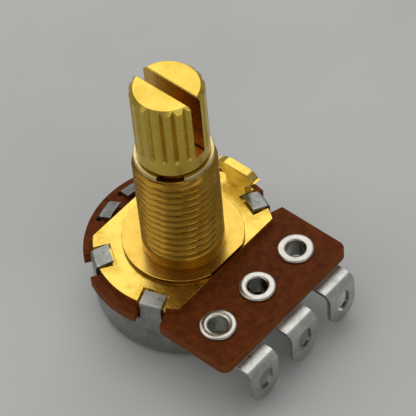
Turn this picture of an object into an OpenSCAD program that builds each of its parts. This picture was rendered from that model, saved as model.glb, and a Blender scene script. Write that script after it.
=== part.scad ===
// Panel potentiometer, 16 mm size, with a threaded bushing and a knurled split shaft.
// The origin lies on the shaft axis in the mounting face, +Z runs out along the shaft
// and the solder lugs point towards -Y.

/* [Shaft] */
// Diameter of the knurled shaft end
shaft_d = 6; // [5.6:0.1:6.3]
// Height of the shaft tip above the mounting face
shaft_len = 18; // [15:0.5:30]
// Length of the knurled stretch below the tip
knurl_len = 6.8; // [4:0.1:7]
// Number of knurl teeth
knurl_teeth = 18; // [12:1:24]
// Depth of a knurl groove
knurl_depth = 0.28; // [0.15:0.01:0.35]
// Width of the split in the shaft end
slot_w = 1.1; // [0.6:0.1:1.6]
// Depth of the split below the tip
slot_len = 7; // [3:0.1:7.2]
// Bevel round the shaft tip
tip_bevel = 0.35; // [0.1:0.05:0.6]
// Diameter of the neck that turns in the bushing
neck_d = 5; // [4.6:0.1:5.2]
// Height of the shoulder of the knurled end above the bushing
shoulder_gap = 0.65; // [0.5:0.05:1]
// Diameter of the shaft tail that carries the rotor
tail_d = 4; // [3.6:0.1:4.4]
// Distance across the two flats of the tail
tail_flats = 3; // [2.6:0.1:3.4]
// Diameter of the head staked over the rotor
stake_d = 4.8; // [4.5:0.1:5.6]
// Height of the staked head
stake_t = 0.4; // [0.2:0.05:0.5]

/* [Retaining ring] */
// Outer diameter of the ring
ring_d = 6.6; // [6.2:0.1:6.8]
// Thickness of the ring
ring_t = 0.5; // [0.3:0.05:0.55]
// Diameter of the shaft groove that holds the ring
groove_d = 4.3; // [4:0.1:4.5]
// Angle of the opening of the ring
ring_gap_angle = 40; // [25:1:90]
// Direction in which the ring opens
ring_gap_dir = -144; // [-180:1:180]

/* [Bushing] */
// Outer diameter of the thread
thread_d = 7; // [6.8:0.1:8]
// Length of the bushing above the mounting face
thread_len = 10; // [6:0.5:12]
// Bevel at the end of the thread
thread_bevel = 0.45; // [0.2:0.05:0.5]
// Pitch of the thread
thread_pitch = 0.75; // [0.6:0.05:1]
// Depth of the thread
thread_depth = 0.36; // [0.25:0.01:0.42]
// Height of the plain collar between the mounting face and the thread
thread_collar = 0.4; // [0.2:0.05:0.8]
// Diameter of the raised seat round the bushing
seat_d = 10.3; // [9.4:0.1:11]
// Height of the raised seat above the plate
seat_h = 0.45; // [0.3:0.05:0.8]
// Diameter of the spigot staked in the plate
spigot_d = 8.2; // [7.6:0.1:8.6]
// Flare of the staked spigot
spigot_flare = 0.25; // [0.1:0.05:0.3]
// Metal left between the spigot and the plate's flat above the solder lugs
spigot_web = 0.35; // [0.25:0.05:0.5]

/* [Front plate] */
// Diameter of the plate's round sides
plate_d = 15.2; // [15:0.1:15.4]
// Thickness of the plate
plate_t = 0.7; // [0.6:0.05:1]
// Distance of the flat on the far side from the axis
back_flat = 6.05; // [5.7:0.05:6.1]
// Thickness of the locating lug
key_t = 0.8; // [0.6:0.05:1]
// Width of the locating lug at its foot
key_foot_w = 2.2; // [1.6:0.1:2.3]
// Width of the locating lug at its head
key_head_w = 4.4; // [3.2:0.1:4.8]
// Height of the locating lug above the mounting face
key_h = 1.9; // [1.6:0.1:3]

/* [Terminal board] */
// Diameter of the round end of the board
board_d = 17; // [16.8:0.1:18]
// Thickness of the board
board_t = 1.1; // [0.8:0.1:1.6]
// Width of the square end of the board
board_w = 15.8; // [15:0.1:16.6]
// Distance of the board's square end from the axis
board_reach = 11.2; // [10.6:0.1:11.6]
// Corner radius of the square end
board_corner = 0.8; // [0.4:0.1:1.5]
// Diameter of the hole for the rotor hub
board_hole_d = 6.4; // [6.3:0.1:6.6]

/* [Printed tracks] */
// Thickness of a printed layer
print_t = 0.08; // [0.06:0.01:0.1]
// Width of the carbon track
track_w = 1.4; // [1.2:0.1:1.6]
// Half angle of the gap between the ends of the track
track_gap_half = 21; // [15:1:25]
// Width of the collector ring
collector_w = 1.25; // [1.1:0.05:1.4]
// Bare board between the hub's hole and the collector ring
collector_inset = 0.25; // [0.2:0.05:0.4]
// Bare board between the collector ring and the carbon track
track_space = 0.5; // [0.3:0.05:0.7]
// Width of the collector's tongue to the middle eyelet
tongue_w = 1.4; // [1:0.1:1.6]
// Angle covered by the silver print at each end of the track
end_print_angle = 9; // [6:1:10]
// Width of the print that leads to an outer eyelet
lead_w = 1.2; // [0.8:0.1:1.3]

/* [Terminals] */
// Distance between neighbouring terminals
pitch = 5; // [4.8:0.1:5.2]
// Distance of the eyelets from the shaft axis
eyelet_y = 8; // [7.8:0.1:8.4]
// Width of a terminal
lug_w = 3.2; // [2.8:0.1:3.4]
// Thickness of the terminal strip
lug_t = 0.4; // [0.3:0.05:0.5]
// Distance of the outer face of the lugs from the shaft axis
lug_reach = 12.9; // [12.6:0.1:14]
// Inner radius of the bend
lug_bend = 0.4; // [0.3:0.1:0.6]
// Depth of the lug's tip below the mounting face
lug_depth = 6.6; // [6.4:0.1:9]
// Width of the wire eye
eye_w = 1.6; // [1.2:0.1:1.8]
// Height of the wire eye
eye_h = 2.3; // [1.9:0.1:2.6]
// Distance of the eye's lower end from the tip of the lug
eye_rim = 1.15; // [0.8:0.05:1.2]

/* [Eyelets] */
// Bore of an eyelet
eyelet_bore_d = 1.7; // [1.4:0.1:1.8]
// Wall of an eyelet
eyelet_wall = 0.22; // [0.15:0.01:0.25]
// Diameter of the rolled rim
eyelet_rim_d = 3.1; // [2.8:0.1:3.2]
// Height of the rolled rim
eyelet_rim_h = 0.28; // [0.2:0.02:0.3]

/* [Rear can] */
// Outer diameter of the can
can_d = 15.8; // [15.7:0.1:16]
// Sheet thickness of the can
can_t = 0.35; // [0.3:0.05:0.4]
// Depth of the can's back below the mounting face
can_depth = 6.9; // [6.8:0.1:8]
// Outer radius of the drawn edge
can_edge_r = 0.9; // [0.6:0.1:1.2]
// Width of a folded tab
tab_w = 1.9; // [1.6:0.1:2]
// Length of a folded tab
tab_fold = 1.6; // [1.3:0.1:1.7]
// Width of the lanced stop tab
stop_w = 2.4; // [2:0.1:2.6]
// Distance of the stop tab from the shaft axis
stop_y = 5.6; // [5.4:0.1:5.8]
// Height of the stop tab inside the can
stop_h = 1.5; // [1.3:0.1:1.6]

/* [Rotor] */
// Width of the rotor disc beyond the carbon track
rotor_margin = 0.1; // [0.05:0.05:0.3]
// Thickness of the rotor disc
rotor_t = 0.9; // [0.7:0.1:1]
// Diameter of the front hub that runs in the board
hub_d = 5.9; // [5.6:0.1:6]
// Diameter of the hub on the back
back_hub_d = 6.4; // [6:0.1:7]
// Height of the hub on the back
back_hub_h = 1.1; // [0.9:0.1:1.2]
// Height of the stop arm on the back
arm_h = 1.3; // [1.1:0.1:1.5]
// Inner radius of the stop arm
arm_inner_r = 4.4; // [4:0.1:4.6]
// Distance of the stop arm's outer side from the edge of the disc
arm_inset = 0.2; // [0.1:0.05:0.4]
// Half of the total turn of the shaft
turn_half = 150; // [140:1:150]
// Diameter of the pegs that hold the wiper
peg_d = 0.8; // [0.5:0.1:0.9]
// Height of the pegs above the wiper
peg_h = 0.15; // [0.1:0.01:0.17]

/* [Wiper] */
// Thickness of the wiper spring
wiper_t = 0.18; // [0.12:0.02:0.2]
// Width of one wiper finger
finger_w = 0.45; // [0.3:0.05:0.5]
// Slit between two fingers
finger_slit = 0.2; // [0.15:0.05:0.3]
// Length of a wiper finger from its root to its contact
finger_len = 2.2; // [1.8:0.1:2.4]
// Length of the turned-down tip of a finger
finger_tip = 0.5; // [0.3:0.1:0.6]
// Width of the spring's wing that carries the fingers
wing_w = 1.5; // [1:0.1:1.8]
// Outer diameter of the spring's round base
wiper_base_d = 9.8; // [9.4:0.1:10]

/* [Clearances] */
// Running clearance round a turning shaft
run_gap = 0.04; // [0.02:0.01:0.08]
// Clearance between fixed parts that slip together
slip_gap = 0.02; // [0.01:0.01:0.05]
// End play of the shaft
end_play = 0.05; // [0.03:0.01:0.1]
// Side clearance of a folded tab in its notch
notch_gap = 0.25; // [0.1:0.05:0.4]
// Clearance between a moving part and the parts near it
swing_gap = 0.35; // [0.25:0.05:0.5]
// Clearance of the wiper contacts above the tracks
contact_gap = 0.06; // [0.04:0.01:0.1]
// Angle left between the stop arm and the stop tab at each end of the turn
stop_play = 1.2; // [0.5:0.1:3]

/* [Hidden] */
$fn = 96;
cut = 0.5;

// Levels along the axis, from the mounting face down
plate_top = -seat_h;
plate_bottom = plate_top - plate_t;
board_bottom = plate_bottom - board_t;
print_bottom = board_bottom - print_t;
strip_bottom = print_bottom - lug_t;
rim_bottom = strip_bottom - eyelet_rim_h;
rotor_top = rim_bottom - swing_gap;
rotor_bottom = rotor_top - rotor_t;
hub_bottom = rotor_bottom - back_hub_h;
can_floor = -can_depth + can_t;

// Bushing and plate
front_flat = spigot_d / 2 + spigot_flare + spigot_web;
thread_turns = floor((thread_len - thread_bevel - thread_collar) / thread_pitch);
thread_root = thread_pitch / 8;
thread_flank = thread_depth * tan(30);

// Shaft levels
hub_top = plate_bottom - end_play;
shoulder_z = thread_len + shoulder_gap;
knurl_z = shaft_len - knurl_len;
ring_z = thread_len + end_play;

// Can and notches
can_r = can_d / 2;
can_inner_r = can_r - can_t;
tab_root_r = can_r - tab_fold;
riser_r = sqrt(pow(can_inner_r, 2) - pow(tab_w / 2, 2)) - slip_gap;
notch_w = tab_w + 2 * notch_gap;
plate_tab_angles = [34, 146, 200, 340];
board_tab_angles = [78, 102];
window_half = pitch + lug_w / 2 + notch_gap;
window_y = -eyelet_y + lug_w / 2 + notch_gap;
window_bottom = rim_bottom - notch_gap;

// Locating lug
key_outer_x = plate_d / 2;
key_inner_x = key_outer_x - key_t;
key_flare_z = plate_top + plate_t;
key_crown_r = 0.3 * key_head_w;
key_bend_r = 0.8 * key_t;

// Printed tracks and the rotor disc that covers them
collector_inner_d = board_hole_d + 2 * collector_inset;
collector_outer_d = collector_inner_d + 2 * collector_w;
track_inner_d = collector_outer_d + 2 * track_space;
track_outer_d = track_inner_d + 2 * track_w;
track_mid_r = (track_inner_d + track_outer_d) / 4;
collector_mid_r = (collector_inner_d + collector_outer_d) / 4;
lead_angle = track_gap_half - end_print_angle / 2;
rotor_d = track_outer_d + 2 * rotor_margin;

// Stop arm on the rotor
stop_half = atan2(stop_w / 2, stop_y - can_t / 2);
arm_half = 180 - turn_half - stop_half - stop_play;
arm_outer_r = rotor_d / 2 - arm_inset;

// Eyelets
eyelet_d = eyelet_bore_d + 2 * eyelet_wall;
eyelet_hole_d = eyelet_d + 2 * slip_gap;

// Wiper
finger_pitch = finger_w + finger_slit;
contact_z = print_bottom - contact_gap;
contact_x = finger_tip;
root_x = contact_x - finger_len;
wiper_inner_d = hub_d + 2 * slip_gap;
wiper_reach_y = track_mid_r + finger_w + finger_slit / 2;
peg_r = (wiper_inner_d + wiper_base_d) / 4;
peg_angles = [-125, -55];

module disc(d, z0, z1) {
    translate([0, 0, z0])
        cylinder(d = d, h = z1 - z0);
}

// Radius to which a tab over the board is folded, just behind the plate's far flat
function board_tab_root(a) =
    (back_flat + notch_gap + tab_w / 2 * abs(cos(a))) / sin(a);

module ring2d(d_out, d_in) {
    difference() {
        circle(d = d_out);
        circle(d = d_in);
    }
}

// Wedge-shaped outline from angle a0 to a1, less than 180 degrees wide
module wedge(a0, a1, r) {
    mid = (a0 + a1) / 2;
    far = r / cos((a1 - a0) / 2);
    side = r * 1.5;
    polygon([[0, 0],
             [side * cos(a0), side * sin(a0)],
             [far * 1.5 * cos(mid), far * 1.5 * sin(mid)],
             [side * cos(a1), side * sin(a1)]]);
}

// Radial strip from r0 to r1 at angle a
module radial_strip(a, r0, r1, w) {
    rotate(a)
        translate([r0, -w / 2])
            square([r1 - r0, w]);
}

module plate_outline() {
    intersection() {
        circle(d = plate_d);
        translate([-plate_d, -front_flat])
            square([2 * plate_d, front_flat + back_flat]);
    }
}

// Outline of the locating lug seen from the shaft, width along X and height along Y
module key_profile() {
    crown_x = key_head_w / 2 - key_crown_r;
    head_z = key_flare_z + (key_head_w - key_foot_w) / 2;
    difference() {
        polygon([[-key_foot_w / 2, plate_bottom],
                 [key_foot_w / 2, plate_bottom],
                 [key_foot_w / 2, key_flare_z],
                 [key_head_w / 2, head_z],
                 [key_head_w / 2, key_h],
                 [-key_head_w / 2, key_h],
                 [-key_head_w / 2, head_z],
                 [-key_foot_w / 2, key_flare_z]]);
        for (side = [0, 1])
            mirror([side, 0])
                translate([crown_x, key_h - key_crown_r])
                    difference() {
                        square(key_crown_r + cut);
                        circle(r = key_crown_r);
                    }
    }
}

module locating_lug() {
    difference() {
        translate([key_inner_x, 0, 0])
            rotate([90, 0, 90])
                linear_extrude(key_t)
                    key_profile();
        // Outside of the bend at the lug's foot
        translate([key_outer_x - key_bend_r, key_foot_w, plate_bottom + key_bend_r])
            rotate([90, 0, 0])
                linear_extrude(2 * key_foot_w)
                    difference() {
                        translate([0, -key_bend_r - cut])
                            square([key_bend_r + cut, key_bend_r + cut]);
                        circle(r = key_bend_r);
                    }
    }
}

module front_plate() {
    color("gold") {
        difference() {
            translate([0, 0, plate_bottom])
                linear_extrude(plate_t)
                    plate_outline();
            // Countersunk hole for the staked spigot
            disc(spigot_d + 2 * slip_gap, plate_bottom - cut, plate_top + cut);
            translate([0, 0, plate_bottom])
                cylinder(r1 = spigot_d / 2 + spigot_flare + slip_gap,
                         r2 = spigot_d / 2 + slip_gap, h = spigot_flare);
            for (a = plate_tab_angles) {
                // Recess that takes a folded tab
                translate([0, 0, plate_top - can_t])
                    linear_extrude(can_t + cut)
                        radial_strip(a, tab_root_r - notch_gap, plate_d, notch_w);
                // Way for the tab's riser at the edge
                translate([0, 0, plate_bottom - cut])
                    linear_extrude(plate_t + 2 * cut)
                        radial_strip(a, riser_r, plate_d, notch_w);
            }
            // Room for the foot of the locating lug
            translate([key_inner_x, -key_foot_w / 2, plate_bottom - cut])
                cube([plate_d, key_foot_w, plate_t + 2 * cut]);
        }
        locating_lug();
    }
}

// Half section of the threaded neck: crests at the full radius with grooves between them
module thread_profile() {
    r = thread_d / 2;
    groove = thread_root / 2 + thread_flank;
    difference() {
        polygon([[0, 0],
                 [r, 0],
                 [r, thread_len - thread_bevel],
                 [r - thread_bevel, thread_len],
                 [0, thread_len]]);
        for (i = [0:thread_turns - 1])
            translate([r, thread_collar + (i + 0.5) * thread_pitch])
                polygon([[cut, -groove],
                         [0, -groove],
                         [-thread_depth, -thread_root / 2],
                         [-thread_depth, thread_root / 2],
                         [0, groove],
                         [cut, groove]]);
    }
}

module threaded_bushing() {
    bore = neck_d + 2 * run_gap;
    color("goldenrod")
        difference() {
            union() {
                rotate_extrude()
                    thread_profile();
                // Raised seat, cut off flush with the plate's flat
                translate([0, 0, plate_top])
                    linear_extrude(seat_h)
                        intersection() {
                            circle(d = seat_d);
                            translate([-seat_d, -front_flat])
                                square(2 * seat_d);
                        }
                // Spigot staked into the plate's countersink
                disc(spigot_d, plate_bottom, plate_top);
                translate([0, 0, plate_bottom])
                    cylinder(r1 = spigot_d / 2 + spigot_flare,
                             r2 = spigot_d / 2, h = spigot_flare);
            }
            disc(bore, plate_bottom - cut, thread_len + cut);
        }
}

module board_outline() {
    circle(d = board_d);
    translate([-board_w / 2, -board_reach + board_corner])
        square([board_w, board_reach - board_corner]);
    translate([-board_w / 2 + board_corner, -board_reach])
        square([board_w - 2 * board_corner, board_reach]);
    for (side = [-1, 1])
        translate([side * (board_w / 2 - board_corner), -board_reach + board_corner])
            circle(r = board_corner);
}

module terminal_board() {
    color("saddlebrown")
        translate([0, 0, board_bottom])
            linear_extrude(board_t)
                difference() {
                    board_outline();
                    circle(d = board_hole_d);
                    for (i = [-1:1])
                        translate([i * pitch, -eyelet_y])
                            circle(d = eyelet_hole_d);
                    // Open notches for the tabs that go on to the plate
                    for (a = plate_tab_angles)
                        radial_strip(a, riser_r, board_d, notch_w);
                    // Closed slots for the tabs folded over the board
                    for (a = board_tab_angles)
                        radial_strip(a, riser_r, can_r + slip_gap, notch_w);
                }
}

module carbon_track() {
    color("black")
        translate([0, 0, print_bottom])
            linear_extrude(print_t)
                difference() {
                    ring2d(track_outer_d, track_inner_d);
                    wedge(-90 - track_gap_half, -90 + track_gap_half, track_outer_d);
                }
}

module collector_print() {
    color("silver")
        translate([0, 0, print_bottom])
            linear_extrude(print_t)
                difference() {
                    union() {
                        circle(d = collector_outer_d);
                        translate([-tongue_w / 2, -eyelet_y])
                            square([tongue_w, eyelet_y]);
                        translate([0, -eyelet_y])
                            circle(d = lug_w);
                        // Land under the flat strip of the middle terminal
                        translate([-lug_w / 2, -board_reach])
                            square([lug_w, board_reach - eyelet_y]);
                    }
                    circle(d = collector_inner_d);
                    translate([0, -eyelet_y])
                        circle(d = eyelet_hole_d);
                }
}

// Straight bar from point p to point q
module bar(p, q, w) {
    d = q - p;
    translate(p)
        rotate(atan2(d[1], d[0]))
            translate([0, -w / 2])
                square([norm(d), w]);
}

// Silver print that joins one end of the carbon track to its eyelet
module end_print(side) {
    a_out = track_gap_half;
    a_in = track_gap_half - end_print_angle;
    start = track_outer_d / 2 * [side * sin(lead_angle), -cos(lead_angle)];
    color("silver")
        translate([0, 0, print_bottom])
            linear_extrude(print_t)
                difference() {
                    union() {
                        intersection() {
                            ring2d(track_outer_d, track_inner_d);
                            wedge(-90 + (side > 0 ? a_in : -a_out),
                                  -90 + (side > 0 ? a_out : -a_in), track_outer_d);
                        }
                        bar(start, [side * pitch, -eyelet_y], lead_w);
                        translate([side * pitch, -eyelet_y])
                            circle(d = lug_w);
                        translate([side * pitch - lug_w / 2, -board_reach])
                            square([lug_w, board_reach - eyelet_y]);
                    }
                    // The carbon layer keeps its own ground
                    difference() {
                        ring2d(track_outer_d + 2 * slip_gap, track_inner_d - 2 * slip_gap);
                        wedge(-90 - a_out + slip_gap, -90 + a_out - slip_gap, track_outer_d);
                    }
                    translate([side * pitch, -eyelet_y])
                        circle(d = eyelet_hole_d);
                }
}

// Flat strip under the board, bent down into a solder lug with an oval wire eye
module terminal(i) {
    bend_y = -lug_reach + lug_bend + lug_t;
    bend_z = strip_bottom - lug_bend;
    tip_r = lug_w / 2;
    eye_low = -lug_depth + eye_rim + eye_w / 2;
    color("lightgray")
        translate([i * pitch, 0, 0]) {
            translate([0, 0, strip_bottom])
                linear_extrude(lug_t)
                    difference() {
                        union() {
                            translate([0, -eyelet_y])
                                circle(r = tip_r);
                            translate([-tip_r, bend_y])
                                square([lug_w, -eyelet_y - bend_y]);
                        }
                        translate([0, -eyelet_y])
                            circle(d = eyelet_hole_d);
                    }
            translate([-tip_r, bend_y, bend_z])
                rotate([90, 0, 90])
                    rotate([0, 0, 90])
                        rotate_extrude(angle = 90)
                            translate([lug_bend, 0])
                                square([lug_t, lug_w]);
            translate([0, -lug_reach + lug_t, 0])
                rotate([90, 0, 0])
                    linear_extrude(lug_t)
                        difference() {
                            union() {
                                translate([0, -lug_depth + tip_r])
                                    circle(r = tip_r);
                                translate([-tip_r, -lug_depth + tip_r])
                                    square([lug_w, bend_z + lug_depth - tip_r]);
                            }
                            for (z = [eye_low, eye_low + eye_h - eye_w])
                                translate([0, z])
                                    circle(d = eye_w);
                            translate([-eye_w / 2, eye_low])
                                square([eye_w, eye_h - eye_w]);
                        }
        }
}

module eyelet(i) {
    r_in = eyelet_bore_d / 2;
    r_out = eyelet_d / 2;
    r_rim = eyelet_rim_d / 2;
    h = eyelet_rim_h;
    color("silver")
        translate([i * pitch, -eyelet_y, 0])
            rotate_extrude() {
                translate([r_in, rim_bottom])
                    square([r_out - r_in, plate_bottom + h - rim_bottom]);
                // Rolled rims above the board and below the terminal
                for (z = [plate_bottom, strip_bottom - h])
                    translate([0, z])
                        difference() {
                            translate([r_in, 0])
                                square([r_rim - r_in, h]);
                            translate([r_rim, z < plate_bottom ? 0 : h])
                                rotate(45)
                                    square(h * 0.9, center = true);
                        }
            }
}

// Cup profile with a rounded lower corner: radius along X, height along Y
module cup_profile(r, floor_z, edge_r) {
    translate([0, floor_z + edge_r])
        square([r, board_bottom - floor_z - edge_r]);
    translate([0, floor_z])
        square([r - edge_r, board_bottom - floor_z]);
    translate([r - edge_r, floor_z + edge_r])
        circle(r = edge_r);
}

// Profile of a folded tab, with its upper face at the given height
module tab_profile(top) {
    difference() {
        union() {
            translate([can_inner_r, board_bottom - can_t])
                square([can_t, top - board_bottom + can_t]);
            translate([can_inner_r - tab_fold, top - can_t])
                square([can_t + tab_fold, can_t]);
        }
        translate([can_inner_r, top - can_t])
            difference() {
                square(can_t + cut);
                circle(r = can_t);
            }
    }
}

// Tab that rises from the can's rim at angle a and is folded in as far as radius root_r
module folded_tab(a, root_r, top) {
    intersection() {
        rotate_extrude()
            tab_profile(top);
        translate([0, 0, board_bottom - can_t])
            linear_extrude(top - board_bottom + 2 * can_t)
                radial_strip(a, root_r, can_d, tab_w);
    }
}

module rear_can() {
    slot_y = -stop_y + can_t / 2;
    color("lightsteelblue") {
        difference() {
            rotate_extrude()
                difference() {
                    cup_profile(can_r, -can_depth, can_edge_r);
                    translate([0, can_floor])
                        square([can_inner_r - can_edge_r, can_depth]);
                    translate([0, can_floor + can_edge_r - can_t])
                        square([can_inner_r, can_depth]);
                    translate([can_r - can_edge_r, -can_depth + can_edge_r])
                        circle(r = can_edge_r - can_t);
                }
            // Window in the rim for the terminals
            translate([-window_half, -can_d, window_bottom])
                cube([2 * window_half, can_d + window_y, board_bottom - window_bottom + cut]);
            // Opening left in the back by the lanced stop tab
            translate([-stop_w / 2 - slip_gap, slot_y, -can_depth - cut])
                cube([stop_w + 2 * slip_gap, stop_h, can_t + 2 * cut]);
        }
        // Stop tab, bent up from the back
        translate([-stop_w / 2, slot_y - can_t, -can_depth + can_t / 2])
            cube([stop_w, can_t, stop_h + can_t / 2]);
        for (a = plate_tab_angles)
            folded_tab(a, tab_root_r, plate_top);
        for (a = board_tab_angles)
            folded_tab(a, board_tab_root(a), plate_bottom + can_t);
    }
}

// Outline of the knurled shaft end
module knurl_outline() {
    difference() {
        circle(d = shaft_d);
        for (i = [0:knurl_teeth - 1])
            rotate((i + 0.5) * 360 / knurl_teeth)
                translate([shaft_d / 2, 0])
                    circle(r = knurl_depth, $fn = 4);
    }
}

// Round outline with two flats along X
module tail_outline(gap) {
    intersection() {
        circle(d = tail_d + 2 * gap);
        square([2 * tail_d, tail_flats + 2 * gap], center = true);
    }
}

module shaft() {
    color("darkkhaki")
        difference() {
            union() {
                disc(neck_d, hub_top, thread_len);
                disc(groove_d, thread_len - cut, shoulder_z + cut);
                disc(shaft_d, shoulder_z, knurl_z);
                translate([0, 0, knurl_z])
                    linear_extrude(knurl_len)
                        knurl_outline();
                // Flatted tail through the rotor, staked over behind it
                translate([0, 0, hub_bottom - stake_t / 2])
                    linear_extrude(hub_top - hub_bottom + stake_t / 2 + cut)
                        tail_outline(0);
                disc(stake_d, hub_bottom - stake_t, hub_bottom);
            }
            // Bevel round the tip
            translate([0, 0, shaft_len - tip_bevel])
                difference() {
                    cylinder(d = 2 * shaft_d, h = tip_bevel + cut);
                    cylinder(d1 = shaft_d, d2 = shaft_d - 2 * tip_bevel, h = tip_bevel);
                    cylinder(d = shaft_d - 2 * tip_bevel, h = tip_bevel + 2 * cut);
                }
            // Split across the tip
            translate([-slot_w / 2, -shaft_d, shaft_len - slot_len])
                cube([slot_w, 2 * shaft_d, slot_len + cut]);
        }
}

module retaining_ring() {
    color("dimgray")
        translate([0, 0, ring_z])
            linear_extrude(ring_t)
                difference() {
                    ring2d(ring_d, groove_d + 2 * slip_gap);
                    wedge(ring_gap_dir - ring_gap_angle / 2,
                          ring_gap_dir + ring_gap_angle / 2, ring_d);
                }
}

module rotor() {
    color("ivory")
        difference() {
            union() {
                disc(rotor_d, rotor_bottom, rotor_top);
                disc(hub_d, rotor_bottom, hub_top);
                disc(back_hub_d, hub_bottom, rotor_top);
                // Stop arm
                translate([0, 0, rotor_bottom - arm_h])
                    linear_extrude(arm_h + rotor_t / 2)
                        intersection() {
                            ring2d(2 * arm_outer_r, 2 * arm_inner_r);
                            wedge(90 - arm_half, 90 + arm_half, rotor_d);
                        }
                // Pegs for the wiper
                for (a = peg_angles)
                    rotate(a)
                        translate([peg_r, 0, 0])
                            disc(peg_d, rotor_bottom, rotor_top + wiper_t + peg_h);
            }
            translate([0, 0, hub_bottom - cut])
                linear_extrude(hub_top - hub_bottom + 2 * cut)
                    tail_outline(slip_gap);
        }
}

// Side view of a finger: it rises from the base and its tip turns down past the contact
module finger_profile() {
    tip_x = contact_x + finger_tip;
    tip_z = contact_z - finger_tip / 2;
    polygon([[root_x - wing_w / 2, rotor_top],
             [root_x, rotor_top],
             [contact_x, contact_z - wiper_t],
             [tip_x, tip_z - wiper_t],
             [tip_x, tip_z],
             [contact_x, contact_z],
             [root_x, rotor_top + wiper_t],
             [root_x - wing_w / 2, rotor_top + wiper_t]]);
}

module wiper() {
    window_y = collector_mid_r - finger_w - finger_slit;
    color("darkgoldenrod") {
        translate([0, 0, rotor_top])
            linear_extrude(wiper_t)
                difference() {
                    union() {
                        circle(d = wiper_base_d);
                        intersection() {
                            circle(r = rotor_d / 2 - slip_gap);
                            translate([root_x - wing_w, 0])
                                square([wing_w, wiper_reach_y]);
                        }
                    }
                    circle(d = wiper_inner_d);
                    // Window that the fingers are cut from
                    translate([root_x, window_y])
                        square([wiper_base_d, wiper_base_d]);
                    for (a = peg_angles)
                        rotate(a)
                            translate([peg_r, 0])
                                circle(d = peg_d + 2 * slip_gap);
                }
        for (r = [collector_mid_r, track_mid_r], side = [-1, 1])
            translate([0, r + (side * finger_pitch + finger_w) / 2, 0])
                rotate([90, 0, 0])
                    linear_extrude(finger_w)
                        finger_profile();
    }
}

front_plate();
threaded_bushing();
terminal_board();
carbon_track();
collector_print();
end_print(-1);  // end_print_left
end_print(1);  // end_print_right
terminal(-1);  // terminal_left
terminal(0);  // terminal_middle
terminal(1);  // terminal_right
eyelet(-1);  // eyelet_left
eyelet(0);  // eyelet_middle
eyelet(1);  // eyelet_right
rear_can();
shaft();
retaining_ring();
rotor();
wiper();
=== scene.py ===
"""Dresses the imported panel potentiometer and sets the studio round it.

Meshes are built in millimetres in the frame's own axes: the origin lies on the shaft axis
in the mounting face, +Z runs out along the shaft and the solder lugs point towards -Y.
A piece is turned into metres when it is placed on its body.
"""
import logging
import math
from collections.abc import Callable, Iterator, Sequence
from contextlib import contextmanager
from dataclasses import dataclass
from enum import Enum

import bmesh
import bpy
from mathutils import Matrix, Quaternion, Vector


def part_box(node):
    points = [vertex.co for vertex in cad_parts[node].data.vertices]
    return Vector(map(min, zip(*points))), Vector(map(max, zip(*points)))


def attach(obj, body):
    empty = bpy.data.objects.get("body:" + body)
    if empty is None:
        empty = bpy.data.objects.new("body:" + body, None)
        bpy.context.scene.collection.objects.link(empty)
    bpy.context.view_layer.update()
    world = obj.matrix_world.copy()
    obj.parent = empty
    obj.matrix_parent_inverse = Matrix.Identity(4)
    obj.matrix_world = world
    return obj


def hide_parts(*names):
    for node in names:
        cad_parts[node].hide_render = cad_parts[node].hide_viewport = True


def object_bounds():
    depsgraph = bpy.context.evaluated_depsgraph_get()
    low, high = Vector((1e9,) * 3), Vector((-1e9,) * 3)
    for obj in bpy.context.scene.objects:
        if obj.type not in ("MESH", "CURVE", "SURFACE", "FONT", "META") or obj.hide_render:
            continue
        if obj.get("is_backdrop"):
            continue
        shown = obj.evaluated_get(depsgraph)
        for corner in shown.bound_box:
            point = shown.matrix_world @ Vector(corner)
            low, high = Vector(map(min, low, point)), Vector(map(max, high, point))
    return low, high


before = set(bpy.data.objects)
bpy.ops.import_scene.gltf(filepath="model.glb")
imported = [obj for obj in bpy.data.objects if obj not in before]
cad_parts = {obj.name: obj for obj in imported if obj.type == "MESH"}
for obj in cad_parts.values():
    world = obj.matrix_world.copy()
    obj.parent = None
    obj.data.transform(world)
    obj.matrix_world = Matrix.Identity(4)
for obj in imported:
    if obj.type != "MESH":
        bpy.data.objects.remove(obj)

LOG = logging.getLogger("potentiometer")
MM = 0.001

Point = tuple[float, float]
Colour = tuple[float, float, float]
Radius = float | Callable[[float], float]
Ring = tuple[Radius, float]
Socket = bpy.types.NodeSocket

PLATE_TOP = -0.45  # level of the gilt plate's upper face
SHEET = 0.35  # thickness of the can's sheet and its tabs
PLATE_TABS = (34, 146, 200, 340)  # directions of the tabs that are folded over the plate
BOARD_TABS = (78, 102)  # directions of those that are folded over the board
WAY_W, WAY_R = 2.4, 7.47  # width of a tab's way, and distance of its floor from the axis
BACK_FLAT = 6.05  # distance of the plate's back edge from the axis

WELD = 1e-4  # corners closer than this, in millimetres, are one
PAST = 1.0  # how far a cutter reaches past what it cuts
UPRIGHT = Matrix(((1, 0, 0, 0), (0, 0, -1, 0), (0, 1, 0, 0), (0, 0, 0, 1)))  # turns Y into Z
SPREAD = (0.3, 0.7)  # values of a noise between which a surface changes
STEEP = (0.3, 0.6)  # how level a face is where a wall's look gives way to a flat one's


class Body(Enum):
    """The two rigid bodies of the frame."""

    HOUSING = "housing"
    SPINDLE = "spindle"


class Side(Enum):
    """The three terminals, from left to right."""

    LEFT = -1
    MIDDLE = 0
    RIGHT = 1


@dataclass(frozen=True)
class Span:
    """Lowest and highest corner of a frame node, in millimetres."""

    low: Vector
    high: Vector

    @staticmethod
    def of(node: str) -> "Span":
        """Measure a node of the frame by its name."""
        low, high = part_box(node)
        return Span(Vector(low) / MM, Vector(high) / MM)


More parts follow.
